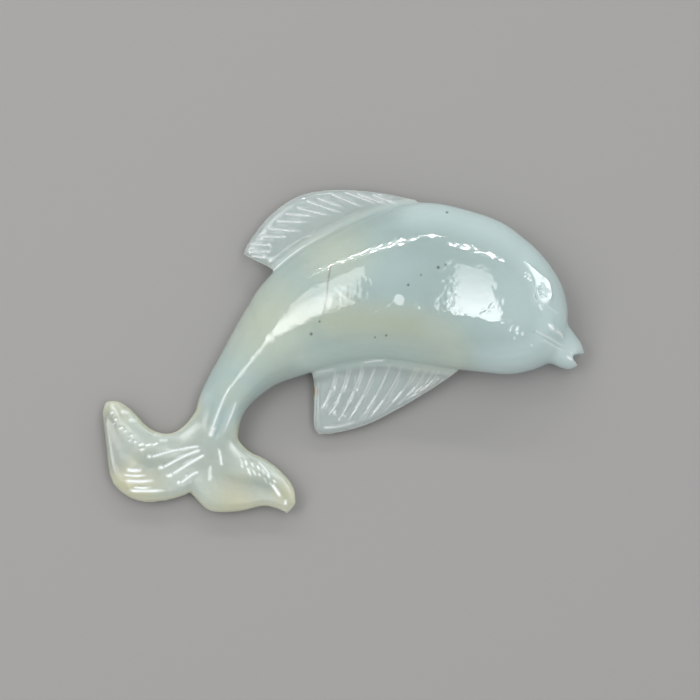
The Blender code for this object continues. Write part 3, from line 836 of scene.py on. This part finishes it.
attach(stone, "root")
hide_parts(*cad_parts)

# ---------------------------------------------------------------------------------------
# The table top and the lamps: plain grey paper, two soft boxes overhead that are each brighter
# towards one end, a small one for the tail stock, and far off two rows of short tubes, hung
# unevenly, that glint along the crest of the back. Places and sizes are in metres.
# ---------------------------------------------------------------------------------------

bpy.ops.object.select_all(action='DESELECT')
bpy.ops.mesh.primitive_plane_add(size=3.0, location=(0, 0, 0))
floor = bpy.context.object
floor.name = "floor"
paper = bpy.data.materials.new("paper_matt")
paper.use_nodes = True
paper_shader = paper.node_tree.nodes["Principled BSDF"]
paper_shader.inputs['Base Color'].default_value = srgb("979593")
paper_shader.inputs['Roughness'].default_value = 0.9
floor.data.materials.append(paper)

LAMP_HEIGHT = 0.30
GLOW_HEIGHT = 0.299        # of the first glow; each next one hangs a glow step lower
GLOW_STEP = 0.0003
RIGHT_TURN = -9            # degrees in plan
RIGHT_BOTTOM = -0.10
RIGHT_TOPS = (0.115, 0.085, 0.055, 0.025, -0.005, -0.035)
LEFT_TURN = 12
LEFT_BOTTOM = -0.035
LEFT_TOPS = (0.115, 0.085, 0.055)
TUBE_SIZE = (0.046, 0.0020)
TUBE_RADIANCE = 110
ROW_BEHIND = [(-0.35, 0.43), (-0.19, 0.39), (-0.06, 0.365), (0.05, 0.415)]
ROW_AHEAD = [(0.115, 0.352), (0.19, 0.338), (0.28, 0.352)]


def soft_box(name, place, size, radiance, turn=0.0, aim=None):
    """Rectangular lamp of even radiance. It looks straight down unless it is aimed at a point."""
    data = bpy.data.lights.new(name, 'AREA')
    data.shape = 'RECTANGLE'
    data.size, data.size_y = size
    data.energy = radiance * math.pi * size[0] * size[1]
    lamp = bpy.data.objects.new(name, data)
    bpy.context.collection.objects.link(lamp)
    lamp.location = place
    lamp.rotation_euler = (0, 0, math.radians(turn))
    if aim:
        direction = Vector(place) - Vector(aim)
        lamp.rotation_euler = direction.to_track_quat('Z', 'Y').to_euler()
        lamp.rotation_euler.rotate_axis('Z', math.radians(turn))


# Glows that all start from the same end and reach less and less far up make a box brighter
# towards that end.
soft_box("box_right", (0.084, 0.042, LAMP_HEIGHT), (0.094, 0.29), 1.9, turn=RIGHT_TURN)
for k, top in enumerate(RIGHT_TOPS):
    middle = (top + RIGHT_BOTTOM) / 2
    x = 0.080 + 0.17 * (middle - 0.042)    # keeps it under the turned box
    soft_box(f"glow_right_{k}", (x, middle, GLOW_HEIGHT - GLOW_STEP * k),
             (0.096 + 0.006 * k, top - RIGHT_BOTTOM), 0.52, turn=RIGHT_TURN)
soft_box("box_left", (-0.166, 0.070, LAMP_HEIGHT), (0.172, 0.26), 1.9, turn=LEFT_TURN)
for k, top in enumerate(LEFT_TOPS):
    middle = (top + LEFT_BOTTOM) / 2
    soft_box(f"glow_left_{k}", (-0.172, middle, GLOW_HEIGHT - GLOW_STEP * k),
             (0.155, top - LEFT_BOTTOM), 0.8, turn=LEFT_TURN)
soft_box("box_tail", (-0.232, -0.095, LAMP_HEIGHT), (0.085, 0.105), 2.6)

# The tubes hang a little out of line and lean left and right in turn.
for row, count in ((ROW_BEHIND, 11), (ROW_AHEAD, 6)):
    for k in range(count):
        x, y = smooth_curve(row, k / (count - 1))[0] + (0, 0.010 * math.sin(2.3 * k))
        lean = 24 * (-1) ** k + 10 * math.sin(3.1 * k)
        soft_box(f"tube_{count}_{k}", (x, y, LAMP_HEIGHT), TUBE_SIZE, TUBE_RADIANCE, turn=lean,
                 aim=(0, 0, 0))

world = bpy.data.worlds.new("studio")
world.use_nodes = True
background = world.node_tree.nodes["Background"]
background.inputs['Color'].default_value = srgb("E8ECEF")
background.inputs['Strength'].default_value = 0.65
bpy.context.scene.world = world

# ---------------------------------------------------------------------------------------
# The camera: a long lens 30 cm above the piece, which looks down on it steeply from the belly
# side, so that the carving is seen nearly in plan.
# ---------------------------------------------------------------------------------------

CAMERA_AIM = (0.65, 0.02, 3.0)
CAMERA_DISTANCE = 0.3
CAMERA_ELEVATION = math.radians(85.0)

bpy.ops.object.camera_add()
camera = bpy.context.object
towards_camera = Vector((0, -math.cos(CAMERA_ELEVATION), math.sin(CAMERA_ELEVATION)))
camera.location = Vector(CAMERA_AIM) * MM + CAMERA_DISTANCE * towards_camera
camera.rotation_euler = (math.pi / 2 - CAMERA_ELEVATION, 0, 0)
camera.data.lens = 154.3
camera.data.clip_start = 0.01
bpy.context.scene.camera = camera
bpy.context.scene.view_settings.view_transform = 'Standard'
